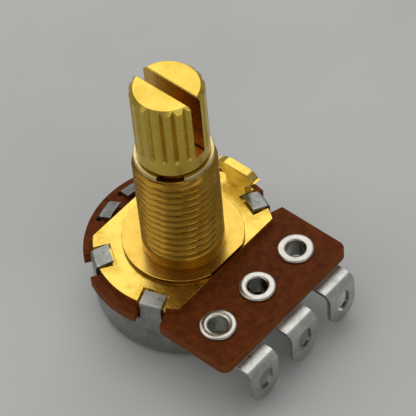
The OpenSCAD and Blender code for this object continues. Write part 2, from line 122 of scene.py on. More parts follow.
def arc(radius: float, start: float, end: float, steps: int, centre: Point = (0, 0)) -> list[Point]:
    """Points along an arc, both ends included.

    Args:
        radius: Radius in millimetres.
        start: First angle in degrees.
        end: Last angle in degrees.
        steps: Number of stretches.
        centre: Centre of the arc.

    Returns:
        The points in order.
    """
    points = []
    for i in range(steps + 1):
        a = math.radians(start + (end - start) * i / steps)
        points.append((centre[0] + radius * math.cos(a), centre[1] + radius * math.sin(a)))
    return points


def obround(half: float, low: float, high: float, steps: int) -> list[Point]:
    """Outline of a strip along Y, with round ends of radius half centred at low and high."""
    return arc(half, 180, 360, steps, (0, low)) + arc(half, 0, 180, steps, (0, high))


def swung(angle: float) -> Matrix:
    """Turn about the shaft axis by an angle in degrees."""
    return Matrix.Rotation(math.radians(angle), 4, "Z")


def hang(name: str, data: bpy.types.ID) -> bpy.types.Object:
    """Put an object into the scene.

    Args:
        name: The object's name.
        data: Its mesh, lamp or camera.

    Returns:
        The object.
    """
    obj = bpy.data.objects.new(name, data)
    bpy.context.scene.collection.objects.link(obj)
    return obj


class Solid:
    """A closed mesh in millimetres that is cut, joined and bevelled before it is placed."""

    def __init__(self, rows: Sequence[Sequence[Sequence[float]]], closed: bool) -> None:
        """Skin rings of corners.

        Args:
            rows: The corners of each ring, in the same order on all of them.
            closed: Whether the last ring joins the first; both ends are capped otherwise.
        """
        bm = bmesh.new()
        rings = [[bm.verts.new(corner) for corner in row] for row in rows]
        pairs = list(zip(rings, rings[1:]))
        if closed:
            pairs.append((rings[-1], rings[0]))
        else:
            bm.faces.new(rings[0])
            bm.faces.new(rings[-1])
        for lower, upper in pairs:
            for i in range(len(lower)):
                bm.faces.new((lower[i - 1], lower[i], upper[i], upper[i - 1]))
        bmesh.ops.recalc_face_normals(bm, faces=bm.faces)
        mesh = bpy.data.meshes.new("solid")
        bm.to_mesh(mesh)
        bm.free()
        self.obj = hang("solid", mesh)

    @classmethod
    def prism(cls, outline: Sequence[Point], low: float, high: float) -> "Solid":
        """Extrude a flat outline along Z, from a lower to an upper level."""
        return cls([[(x, y, z) for x, y in outline] for z in (low, high)], closed=False)

    @classmethod
    def box(cls, low: Sequence[float], high: Sequence[float]) -> "Solid":
        """Make a block from its lowest and its highest corner."""
        corners = [(low[0], low[1]), (high[0], low[1]), (high[0], high[1]), (low[0], high[1])]
        return cls.prism(corners, low[2], high[2])

    @classmethod
    def turned(cls, rings: Sequence[Ring], steps: int, closed: bool) -> "Solid":
        """Turn a profile round the Z axis; a radius may vary with the angle.

        Args:
            rings: Radius and level of each ring in order.
            steps: Number of stretches round the axis.
            closed: Whether the last ring joins the first, as on a tube.

        Returns:
            The new solid.
        """
        angles = [2 * math.pi * i / steps for i in range(steps)]
        rows = []
        for radius, level in rings:
            reach = [radius(a) if callable(radius) else radius for a in angles]
            rows.append([(r * math.cos(a), r * math.sin(a), level) for r, a in zip(reach, angles)])
        return cls(rows, closed)

    @contextmanager
    def _opened(self) -> Iterator[bmesh.types.BMesh]:
        """Lend the mesh for an edit by hand, and put it back afterwards.

        Yields:
            The mesh in a form that can be edited.
        """
        bm = bmesh.new()
        bm.from_mesh(self.obj.data)
        yield bm
        bm.to_mesh(self.obj.data)
        bm.free()

    def _apply(self) -> "Solid":
        """Bake the modifiers into the mesh.

        Returns:
            This solid.
        """
        graph = bpy.context.evaluated_depsgraph_get()
        baked = bpy.data.meshes.new_from_object(self.obj.evaluated_get(graph))
        self.obj.modifiers.clear()
        self.obj.data = baked
        return self

    def _combine(self, other: "Solid", operation: str) -> "Solid":
        """Apply a boolean with another solid, which is used up.

        Args:
            other: The second solid.
            operation: DIFFERENCE, UNION or INTERSECT.

        Returns:
            This solid.
        """
        tool = self.obj.modifiers.new("combine", "BOOLEAN")
        tool.operation = operation
        tool.solver = "EXACT"
        tool.object = other.obj
        self._apply()
        bpy.data.objects.remove(other.obj)
        # A boolean along a shared plane leaves hairline edges that spoil the next cut or bevel
        with self._opened() as bm:
            bmesh.ops.remove_doubles(bm, verts=bm.verts, dist=WELD)
            bmesh.ops.dissolve_degenerate(bm, edges=bm.edges, dist=WELD)
        return self

    def cut(self, other: "Solid") -> "Solid":
        """Remove another solid from this one."""
        return self._combine(other, "DIFFERENCE")

    def fuse(self, other: "Solid") -> "Solid":
        """Unite another solid with this one."""
        return self._combine(other, "UNION")

    def keep(self, other: "Solid") -> "Solid":
        """Keep only what lies inside another solid."""
        return self._combine(other, "INTERSECT")

    def add(self, other: "Solid") -> "Solid":
        """Lay another solid's shell beside this one's in the same mesh.

        Args:
            other: The second solid, which is used up.

        Returns:
            This solid.
        """
        with self._opened() as bm:
            bm.from_mesh(other.obj.data)
        bpy.data.objects.remove(other.obj)
        return self

    def moved(self, matrix: Matrix) -> "Solid":
        """Move the mesh by a matrix."""
        self.obj.data.transform(matrix)
        return self

    def mapped(self, rule: Callable[[Vector], Vector]) -> "Solid":
        """Move each corner by a rule, and turn the faces outwards again.

        Args:
            rule: Gives a corner's new place from its old one.

        Returns:
            This solid.
        """
        with self._opened() as bm:
            for vertex in bm.verts:
                vertex.co = rule(vertex.co)
            bmesh.ops.recalc_face_normals(bm, faces=bm.faces)
        return self

    def sliced(self, places: Sequence[float]) -> "Solid":
        """Add edge loops across the mesh, so that it can bend there.

        Args:
            places: Position of each loop along Y.

        Returns:
            This solid.
        """
        with self._opened() as bm:
            for place in places:
                geometry = bm.verts[:] + bm.edges[:] + bm.faces[:]
                bmesh.ops.bisect_plane(bm, geom=geometry, dist=1e-5, plane_co=(0, place, 0),
                                       plane_no=(0, 1, 0))
        return self

    def bevel(self, width: float, steps: int = 2) -> "Solid":
        """Round the sharp edges.

        Args:
            width: Width of the rounding.
            steps: Number of stretches across it.

        Returns:
            This solid.
        """
        tool = self.obj.modifiers.new("bevel", "BEVEL")
        tool.width = width
        tool.segments = steps
        tool.limit_method = "ANGLE"
        tool.angle_limit = math.radians(35)
        tool.miter_outer = "MITER_ARC"
        return self._apply()

    def place(self, name: str, body: Body, node: str, finish: "Finish") -> bpy.types.Object:
        """Turn the solid into a piece of the scene that stands for a frame node.

        Args:
            name: The piece's name.
            body: The body that it rides on.
            node: The frame node that it replaces.
            finish: Its surface.

        Returns:
            The piece.
        """
        self.obj.name = name
        self.obj.data.name = name
        self.obj.data.shade_smooth()
        self.obj.data.set_sharp_from_angle(angle=math.radians(38))
        # Flat faces keep flat shading beside their bevels; the threshold is in square millimetres
        tool = self.obj.modifiers.new("normals", "WEIGHTED_NORMAL")
        tool.keep_sharp = True
        tool.weight = 100
        tool.thresh = 0.05
        self._apply()
        self.obj.data.transform(Matrix.Scale(MM, 4))
        self.obj.data.materials.clear()
        self.obj.data.materials.append(finish.material())
        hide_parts(node)
        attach(self.obj, body.value)
        LOG.info("%s stands for %s: %d faces", name, node, len(self.obj.data.polygons))
        return self.obj


class NodeSheet:
    """Short calls that lay out the shader nodes of a material or of the world."""

    def __init__(self, tree: bpy.types.NodeTree, shader: str = "Principled BSDF",
                 place: str = "Object") -> None:
        """Open a node tree.

        Args:
            tree: The tree, which holds its shader already.
            shader: The shader's name.
            place: The kind of coordinates that its textures use.
        """
        self.tree = tree
        self.shader = tree.nodes[shader]
        self.place = self.node("TexCoord", {}, place)

    def put(self, node: bpy.types.Node, key: str | int, value: object) -> None:
        """Link an output to a node's input, or set the input to a constant.

        Args:
            node: The node.
            key: Name or number of the input.
            value: The output or the constant.
        """
        if isinstance(value, Socket):
            self.tree.links.new(value, node.inputs[key])
        else:
            node.inputs[key].default_value = value

    def node(self, kind: str, inputs: dict[str | int, object], output: str | int = 0,
             **settings: str) -> Socket:
        """Add a node.

        Args:
            kind: Its type, without the words ShaderNode.
            inputs: An output or a constant for each input that isn't left as it is.
            output: Name or number of the output that is wanted.
            settings: The node's own settings.

        Returns:
            The output.
        """
        node = self.tree.nodes.new(f"ShaderNode{kind}")
        for name, value in settings.items():
            setattr(node, name, value)
        for key, value in inputs.items():
            self.put(node, key, value)
        return node.outputs[output]

    def feed(self, name: str, value: object) -> None:
        """Link or set one of the shader's inputs."""
        self.put(self.shader, name, value)

    def part(self, axis: str, vector: Socket | None = None) -> Socket:
        """One part of a vector, or of the object's own coordinates if it is left out."""
        return self.node("SeparateXYZ", {0: vector or self.place}, axis)

    def size(self, value: Socket) -> Socket:
        """A value without its sign."""
        return self.node("Math", {0: value}, operation="ABSOLUTE")

    def upright(self) -> Socket:
        """How level a surface is: 1 on faces that look up or down and 0 on upright ones."""
        return self.size(self.part("Z", self.node("NewGeometry", {}, "Normal")))

    def turned(self) -> Socket:
        """Lay out coordinates that only change with the distance from the axis and the height.

        Returns:
            The coordinates.
        """
        flat = self.node("CombineXYZ", {"X": self.part("X"), "Y": self.part("Y")})
        away = self.node("VectorMath", {0: flat}, "Value", operation="LENGTH")
        return self.node("CombineXYZ", {"X": away, "Z": self.part("Z")})

    def noise(self, scale: float, detail: float = 4, roughness: float = 0.55,
              place: Socket | None = None) -> Socket:
        """Value from 0 to 1 of a noise with the given number of features per metre."""
        return self.node("TexNoise", {"Scale": scale, "Detail": detail, "Roughness": roughness,
                                      "Vector": place or self.place})

    def streaks(self, scale: Colour, detail: float, roughness: float) -> Socket:
        """Value of a noise with its own number of features per metre along each axis."""
        place = self.node("Mapping", {"Vector": self.place, "Scale": scale})
        return self.noise(1, detail, roughness, place)

    def tones(self, value: Socket, places: Sequence[float], *colours: Colour) -> Socket:
        """Turn a value into a colour.

        Args:
            value: The value.
            places: Value at which each colour is reached.
            colours: The linear colours, in the same order.

        Returns:
            The colour.
        """
        colour = self.node("ValToRGB", {"Fac": value}, "Color")
        elements = colour.node.color_ramp.elements
        while len(elements) < len(colours):
            elements.new(1.0)
        for element, place, tone in zip(elements, places, colours):
            element.position = place
            element.color = (*tone, 1)
        return colour

    def span(self, value: Socket, ends: Point, low: float, high: float) -> Socket:
        """Spread a value from low at the first end to high at the last, and no farther."""
        return self.node("MapRange", {"Value": value, "From Min": ends[0], "From Max": ends[1],
                                      "To Min": low, "To Max": high}, "Result")

    def blend(self, factor: Socket, first: Socket, second: Socket) -> Socket:
        """Mix two colours by a factor."""
        return self.node("Mix", {0: factor, 6: first, 7: second}, 2, data_type="RGBA")

    def bump(self, *layers: tuple[Socket, float]) -> None:
        """Give the shader small relief.

        Args:
            layers: Height value of each layer and its depth in metres.
        """
        below: dict[str | int, object] = {}
        for value, depth in layers:
            inputs = {"Height": value, "Strength": 1, "Distance": depth, **below}
            below = {"Normal": self.node("Bump", inputs, "Normal")}
        self.feed("Normal", below["Normal"])


@dataclass(frozen=True)
class Finish:
    """A surface finish; each kind lays out its own shader nodes."""

    name: str
    slot: str

    def material(self) -> bpy.types.Material:
        """The material, made once and then shared.

        Returns:
            The material with this finish's name.
        """
        material = bpy.data.materials.get(self.name)
        if not material:
            material = bpy.data.materials.new(self.name)
            material.use_nodes = True
            self.lay(NodeSheet(material.node_tree))
        return material

    def lay(self, sheet: NodeSheet) -> None:
        """Lay out the nodes; each kind of finish has its own."""
        raise NotImplementedError


@dataclass(frozen=True)
class GiltSheet(Finish):
    """Pressed sheet with a yellow passivated coat: soft sheen, faint patches, rub marks, and a
    painted highlight that lightens its upright faces.
    """

    light: Colour = (0.68, 0.475, 0.092)
    dark: Colour = (0.50, 0.315, 0.048)
    # Painted highlight: upright faces, such as the bent-up lug, are lightened towards this colour
    upright_highlight: Colour = (0.98, 0.83, 0.34)
    roughness: Point = (0.14, 0.30)
    patchy: Point = (0.34, 0.56)
    rub_marks: Colour = (9000, 1300, 2600)

    def lay(self, sheet: NodeSheet) -> None:
        """Lay out the nodes.

        Args:
            sheet: The material's sheet.
        """
        sheet.feed("Metallic", 1)
        patches = sheet.noise(640, 6, 0.66)
        face = sheet.tones(patches, self.patchy, self.dark, self.light)
        # Painted highlight: the lighter tones that upright faces take in place of the plain ones
        bend = sheet.tones(patches, self.patchy, self.light, self.upright_highlight)
        steep = sheet.span(sheet.upright(), STEEP, 1, 0)
        sheet.feed("Base Color", sheet.blend(steep, face, bend))
        rub = sheet.streaks(self.rub_marks, 6, 0.7)
        sheet.feed("Roughness", sheet.span(rub, SPREAD, *self.roughness))
        sheet.bump((sheet.noise(5200, 3), 4e-6), (rub, 2.5e-6))


@dataclass(frozen=True)
class TurnedMetal(Finish):
    """Turned metal with fine tool rings; a painted shade darkens its upright faces and the faces
    above a given level, and a darker painted shade the foot of upright faces below a lower level.
    """

    light: Colour
    dark: Colour
    # Painted shade: the next two tones darken upright faces and the faces above the upper level
    wall_shade: Colour = (0.30, 0.152, 0.0155)
    smear: Colour = (0.45, 0.255, 0.036)
    # Painted shade: near-black tone for the foot of upright faces below the lower level
    foot_shade: Colour = (0.045, 0.018, 0.004)
    tarnish: Colour = (0.66, 0.36, 0.09)
    roughness: Point = (0.16, 0.32)
    shade_level: float = 1.0
    shade_fade: float = 0.0003
    foot_shade_level: float = -1.0
    foot_shade_fade: float = 0.00006
    split_half: float = 0.0
    split_level: float = 0.0
    split_fade: float = 0.00001

    def lay(self, sheet: NodeSheet) -> None:
        """Lay out the nodes.

        Args:
            sheet: The material's sheet.
        """
        sheet.feed("Metallic", 1)
        height = sheet.part("Z")
        rings = sheet.noise(9000, 2, 0.6, sheet.turned())
        stain = sheet.noise(520, 6, 0.65)
        bare = sheet.tones(stain, (0.32, 0.6), self.dark, self.light)
        # Painted shade for upright faces and for faces above the upper level
        painted_wall_shade = sheet.tones(stain, SPREAD, self.wall_shade, self.smear)
        # Painted shade at the foot of upright faces below the lower level
        shaded_foot = sheet.tones(stain, (SPREAD[0], 1), self.foot_shade, self.wall_shade)
        above = sheet.span(height, (self.shade_level, self.shade_level + self.shade_fade), 0, 1)
        below = sheet.span(height, (self.foot_shade_level, self.foot_shade_level + self.foot_shade_fade), 1, 0)
        steep = sheet.span(sheet.upright(), STEEP, 1, 0)
        walls = sheet.blend(below, painted_wall_shade, shaded_foot)
        colour = sheet.blend(steep, sheet.blend(above, bare, painted_wall_shade), walls)
        if self.split_half:
            aside = sheet.size(sheet.part("X"))
            level = sheet.span(height, (self.split_level, self.split_level + self.split_fade), 0, 1)
            inside = sheet.span(aside, (self.split_half, self.split_half + self.split_fade), 1, 0)
            both = sheet.node("Math", {0: level, 1: inside}, operation="MULTIPLY")
            tarnished = sheet.tones(stain, SPREAD, self.tarnish, self.light)
            colour = sheet.blend(both, colour, tarnished)
        sheet.feed("Base Color", colour)
        sheet.feed("Roughness", sheet.span(rings, SPREAD, *self.roughness))
        sheet.bump((rings, 1.6e-6), (sheet.noise(7000, 3), 1.2e-6))


@dataclass(frozen=True)
class Tin(Finish):
    """Tinned sheet: grey and bright, with smears, specks and drawing marks."""

    light: Colour
    dark: Colour
    roughness: Point
    marks: Colour = (1500, 1500, 9000)
    mark_depth: float = 2e-6

    def lay(self, sheet: NodeSheet) -> None:
        """Lay out the nodes.

        Args:
            sheet: The material's sheet.
        """
        sheet.feed("Metallic", 1)
        smear = sheet.noise(600, 6, 0.68)
        sheet.feed("Base Color", sheet.tones(smear, (0.28, 0.66), self.dark, self.light))
        drawn = sheet.streaks(self.marks, 4, 0.6)
        sheet.feed("Roughness", sheet.span(drawn, SPREAD, *self.roughness))
        sheet.bump((sheet.noise(3800, 4), 4e-6), (drawn, self.mark_depth))


@dataclass(frozen=True)
class Laminate(Finish):
    """Brown laminated paper board: mottled face, fibres, and pale layers on the cut edge."""

    dark: Colour = (0.060, 0.013, 0.0022)
    light: Colour = (0.165, 0.036, 0.005)
    edge: Colour = (0.22, 0.07, 0.016)
    roughness: Point = (0.5, 0.72)
    fibre_marks: Colour = (5200, 9000, 5200)
    layer_marks: Colour = (500, 500, 11000)

    def lay(self, sheet: NodeSheet) -> None:
        """Lay out the nodes.

        Args:
            sheet: The material's sheet.
        """
        mottle = sheet.noise(1500, 7, 0.72)
        fibres = sheet.streaks(self.fibre_marks, 6, 0.7)
        layers = sheet.streaks(self.layer_marks, 3, 0.5)
        face = sheet.tones(mottle, (0.28, 0.68), self.dark, self.light)
        cut = sheet.tones(layers, (0.38, 0.62), self.light, self.edge)
        level = sheet.span(sheet.upright(), (0.35, 0.75), 0, 1)
        sheet.feed("Base Color", sheet.blend(level, cut, face))
        sheet.feed("Roughness", sheet.span(fibres, (0.25, 0.75), *self.roughness))
        sheet.feed("Specular IOR Level", 0.06)
        sheet.bump((mottle, 8e-6), (fibres, 5e-6))


@dataclass(frozen=True)
class Plain(Finish):
    """Moulded or printed surface: two close tones with a fine grain."""

    light: Colour
    dark: Colour
    roughness: Point
    metal: float
    grain: float

    def lay(self, sheet: NodeSheet) -> None:
        """Lay out the nodes.

        Args:
            sheet: The material's sheet.
        """
        sheet.feed("Metallic", self.metal)
        tone = sheet.noise(self.grain, 5, 0.6)
        sheet.feed("Base Color", sheet.tones(tone, (0.35, 0.65), self.dark, self.light))
        sheet.feed("Roughness", sheet.span(tone, SPREAD, *self.roughness))
        sheet.bump((sheet.noise(self.grain * 5, 3), 3e-6))


@dataclass(frozen=True)
class FloorPaint(Finish):
    """Pale matt paint with a very faint cloudiness."""

    colour: Colour = (0.53, 0.535, 0.51)
    clouds: Point = (0.97, 1.03)
    roughness: float = 0.75

    def lay(self, sheet: NodeSheet) -> None:
        """Lay out the nodes.

        Args:
            sheet: The material's sheet.
        """
        low, high = (tuple(part * share for part in self.colour) for share in self.clouds)
        sheet.feed("Base Color", sheet.tones(sheet.noise(60, 3), (0.35, 0.65), low, high))
        sheet.feed("Roughness", self.roughness)


GILT_PLATE = GiltSheet("gilt_sheet", "gilt_plate")
# The bushing's thread and end take the painted shade, and the wall of its seat the dark painted
# shade at its foot
GILT_BUSHING = TurnedMetal("turned_brass", "gilt_bushing", light=(0.66, 0.43, 0.082),
                           dark=(0.52, 0.32, 0.05), shade_level=0.0, foot_shade_level=-0.00012)
GILT_SHAFT = TurnedMetal("knurled_brass", "gilt_shaft", light=(0.66, 0.47, 0.08),
                         dark=(0.52, 0.35, 0.05), wall_shade=(0.52, 0.35, 0.05),
                         smear=(0.66, 0.47, 0.08), split_half=0.00057, split_level=0.01199)
BOARD = Laminate("brown_laminate", "phenolic")
TINNED_CAN = Tin("tinned_can_sheet", "tinned_can", light=(0.38, 0.38, 0.355),
                 dark=(0.21, 0.21, 0.19), roughness=(0.24, 0.48))
TINNED_LUG = Tin("tinned_strip", "tinned_terminal", light=(0.56, 0.56, 0.52),
                 dark=(0.36, 0.36, 0.33), roughness=(0.24, 0.4), marks=(4000, 1200, 1200),
                 mark_depth=0.6e-6)
EYELET = Tin("bright_eyelet_metal", "bright_eyelet", light=(0.54, 0.52, 0.46),
             dark=(0.36, 0.34, 0.30), roughness=(0.16, 0.32))
RING = Tin("gilt_spring_steel", "ring_steel", light=(0.62, 0.50, 0.22), dark=(0.40, 0.31, 0.12),
           roughness=(0.2, 0.36))
CARBON = Plain("carbon_print", "carbon", light=(0.03, 0.03, 0.032), dark=(0.008, 0.008, 0.009),
               roughness=(0.45, 0.7), metal=0, grain=3000)
SILVER = Plain("silver_print_layer", "silver_print", light=(0.62, 0.61, 0.58),
               dark=(0.42, 0.41, 0.38), roughness=(0.4, 0.6), metal=1, grain=2600)
MOULDED = Plain("moulded_rotor", "rotor_plastic", light=(0.78, 0.75, 0.66),
                dark=(0.66, 0.62, 0.53), roughness=(0.35, 0.5), metal=0, grain=1200)
BRONZE = Plain("spring_bronze_strip", "spring_bronze", light=(0.75, 0.45, 0.2),
               dark=(0.55, 0.3, 0.12), roughness=(0.2, 0.35), metal=1, grain=1500)
PALE_FLOOR = FloorPaint("pale_floor", "floor")


def tab_way(angle: float, low: float, high: float, inner: float = WAY_R,
            outer: float = 14.0) -> Solid:
    """A block that cuts a tab's way in from a round part's edge, or as a slot inside it."""
    return Solid.box((inner, -WAY_W / 2, low), (outer, WAY_W / 2, high)).moved(swung(angle))


def dress(node: str, finish: Finish) -> bpy.types.Object:
    """Give a frame solid that is shown as it is a finish of its own.

    Args:
        node: The node's name.
        finish: Its surface.

    Returns:
        The node's object.
    """
    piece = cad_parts[node]
    for slot in piece.material_slots:
        slot.material = finish.material()
    LOG.info("%s is dressed as %s", node, finish.name)
    return piece


@dataclass
class FrontHousing:
    """The gilt plate with its locating lug, and the threaded bushing staked in it."""

    plate_r: float = 7.6
    plate_rounding: float = 0.05
    front_flat: float = 4.7
    recess_r: float = 6.05
    key_t: float = 0.8
    key_foot: float = 2.2
    key_head: float = 4.4
    key_crown: float = 0.3
    key_bend: float = 0.8
    key_rounding: float = 0.07
    seat_r: float = 5.15
    seat_edge: float = 0.07
    spigot_r: float = 4.1
    spigot_flare: float = 0.25
    bore_r: float = 2.54
    bore_bevel: float = 0.2
    thread_r: float = 3.5
    thread_pitch: float = 0.75
    thread_depth: float = 0.36
    thread_root: float = 0.16
    thread_flank: float = 0.62
    thread_start: float = 0.4
    thread_run_in: float = 0.6
    thread_bevel: float = 0.45
    outline_steps: int = 44
    hole_steps: int = 96
    rows_per_turn: int = 14
    thread_steps: int = 144
    seat_steps: int = 128

    def plate(self) -> bpy.types.Object:
        """Make the plate: flats, recesses and ways for the can's tabs, and the bent lug.

        Returns:
            The plate.
        """
        span = Span.of("front_plate")
        low, top = span.low.z, PLATE_TOP
        flats = (span.high.y, self.front_flat)
        rear, front = (math.degrees(math.asin(flat / self.plate_r)) for flat in flats)
        outline = arc(self.plate_r, -front, rear, self.outline_steps)
        outline += arc(self.plate_r, 180 - rear, 180 + front, self.outline_steps)
        plate = Solid.prism(outline, low, top)
        flared = self.spigot_r + self.spigot_flare
        hole = [(flared, low - PAST), (flared, low), (self.spigot_r, low + self.spigot_flare),
                (self.spigot_r, top + PAST)]
        plate.cut(Solid.turned(hole, self.hole_steps, closed=False))
        for angle in PLATE_TABS:
            plate.cut(tab_way(angle, top - SHEET, top + PAST, self.recess_r))
            plate.cut(tab_way(angle, low - PAST, top + PAST))
        half_foot = self.key_foot / 2
        plate.cut(Solid.box((self.plate_r - self.key_t, -half_foot, low - PAST),
                            (self.plate_r + PAST, half_foot, top + PAST)))
        plate.bevel(self.plate_rounding)
        plate.add(self.locating_lug(low, top, span.high.z))
        return plate.place("gilt_plate", Body.HOUSING, "front_plate", GILT_PLATE)

    def locating_lug(self, low: float, top: float, crown: float) -> Solid:
        """Make the lug that is bent up at the plate's side.

        Args:
            low: Level of the plate's lower face.
            top: Level of its upper face.
            crown: Level of the lug's top.

        Returns:
            The lug, reaching a little into the plate.
        """
        flare_z = top + (top - low)
        half_foot, half_head = self.key_foot / 2, self.key_head / 2
        head_z = flare_z + half_head - half_foot
        crown_r = self.key_crown * self.key_head
        start = math.degrees(math.asin(min(1, max(0, (head_z - crown + crown_r) / crown_r))))
        right = [(half_foot, low), (half_foot, flare_z), (half_head, head_z)]
        right += arc(crown_r, start, 90, 10, (half_head - crown_r, crown - crown_r))
        outline = right + [(-y, z) for y, z in reversed(right)]
        inner_x = self.plate_r - self.key_t
        stand = Matrix(((0, 0, 1, inner_x), (1, 0, 0, 0), (0, 1, 0, 0), (0, 0, 0, 1)))
        lug = Solid.prism(outline, 0, self.key_t).moved(stand)
        bend_r = self.key_bend * self.key_t
        out_x = self.plate_r + PAST
        heel = arc(bend_r, -90, 0, 8, (self.plate_r - bend_r, low + bend_r))
        heel += [(out_x, low + bend_r), (out_x, low - PAST), (self.plate_r - bend_r, low - PAST)]
        lug.cut(Solid.prism(heel, -self.key_foot, self.key_foot).moved(UPRIGHT))
        return lug.bevel(self.key_rounding)

    def thread_radius(self, level: float, end: float) -> Callable[[float], float]:
        """Radius of the threaded surface round one level.

        Args:
            level: Height above the mounting face.
            end: Height of the bushing's end.

        Returns:
            The radius as a function of the angle.
        """
        limit = self.thread_r - max(0.0, level - (end - self.thread_bevel))
        run_in = self.thread_run_in * self.thread_pitch
        fade = min(1.0, max(0.0, (level - self.thread_start) / run_in))

        def radius(angle: float) -> float:
            """Follow the helix.

            Args:
                angle: Angle round the axis in radians.

            Returns:
                The radius there.
            """
            phase = (level / self.thread_pitch - angle / (2 * math.pi)) % 1.0
            away = abs(phase - 0.5) * 2
            flank = min(1.0, max(0.0, (away - self.thread_root) / self.thread_flank))
            return min(limit, self.thread_r - self.thread_depth * (1.0 - flank) * fade)

        return radius

    def bushing(self) -> bpy.types.Object:
        """Make the bushing: cut thread with run-out, round seat and staked spigot.

        Returns:
            The bushing.
        """
        span = Span.of("threaded_bushing")
        end, low, top = span.high.z, span.low.z, PLATE_TOP
        bore, bevel, edge = self.bore_r, self.bore_bevel, self.seat_edge
        rows = int(end / self.thread_pitch * self.rows_per_turn)
        rings: list[Ring] = [(bore, -bevel), (self.thread_r, -bevel)]
        for level in (end * i / rows for i in range(rows + 1)):
            rings.append((self.thread_radius(level, end), level))
        rings += [(bore + bevel, end), (bore, end - bevel)]
        bushing = Solid.turned(rings, self.thread_steps, closed=True)
        seat = [(bore, low), (self.spigot_r + self.spigot_flare, low),
                (self.spigot_r, low + self.spigot_flare), (self.spigot_r, top),
                (self.seat_r - 2 * edge, top), (self.seat_r - edge, top + edge),
                (self.seat_r, top + 2 * edge), (self.seat_r, -edge),
                (self.seat_r - edge * 0.3, -edge * 0.3), (self.seat_r - edge, 0), (bore, 0)]
        disc = Solid.turned(seat, self.seat_steps, closed=True)
        reach = self.seat_r + PAST
        disc.cut(Solid.box((-reach, -reach, low - PAST), (reach, -self.front_flat, PAST)))
        bushing.add(disc)
        return bushing.place("threaded_neck", Body.HOUSING, "threaded_bushing", GILT_BUSHING)

    def build(self) -> list[bpy.types.Object]:
        """Make the plate and the bushing."""
        return [self.plate(), self.bushing()]


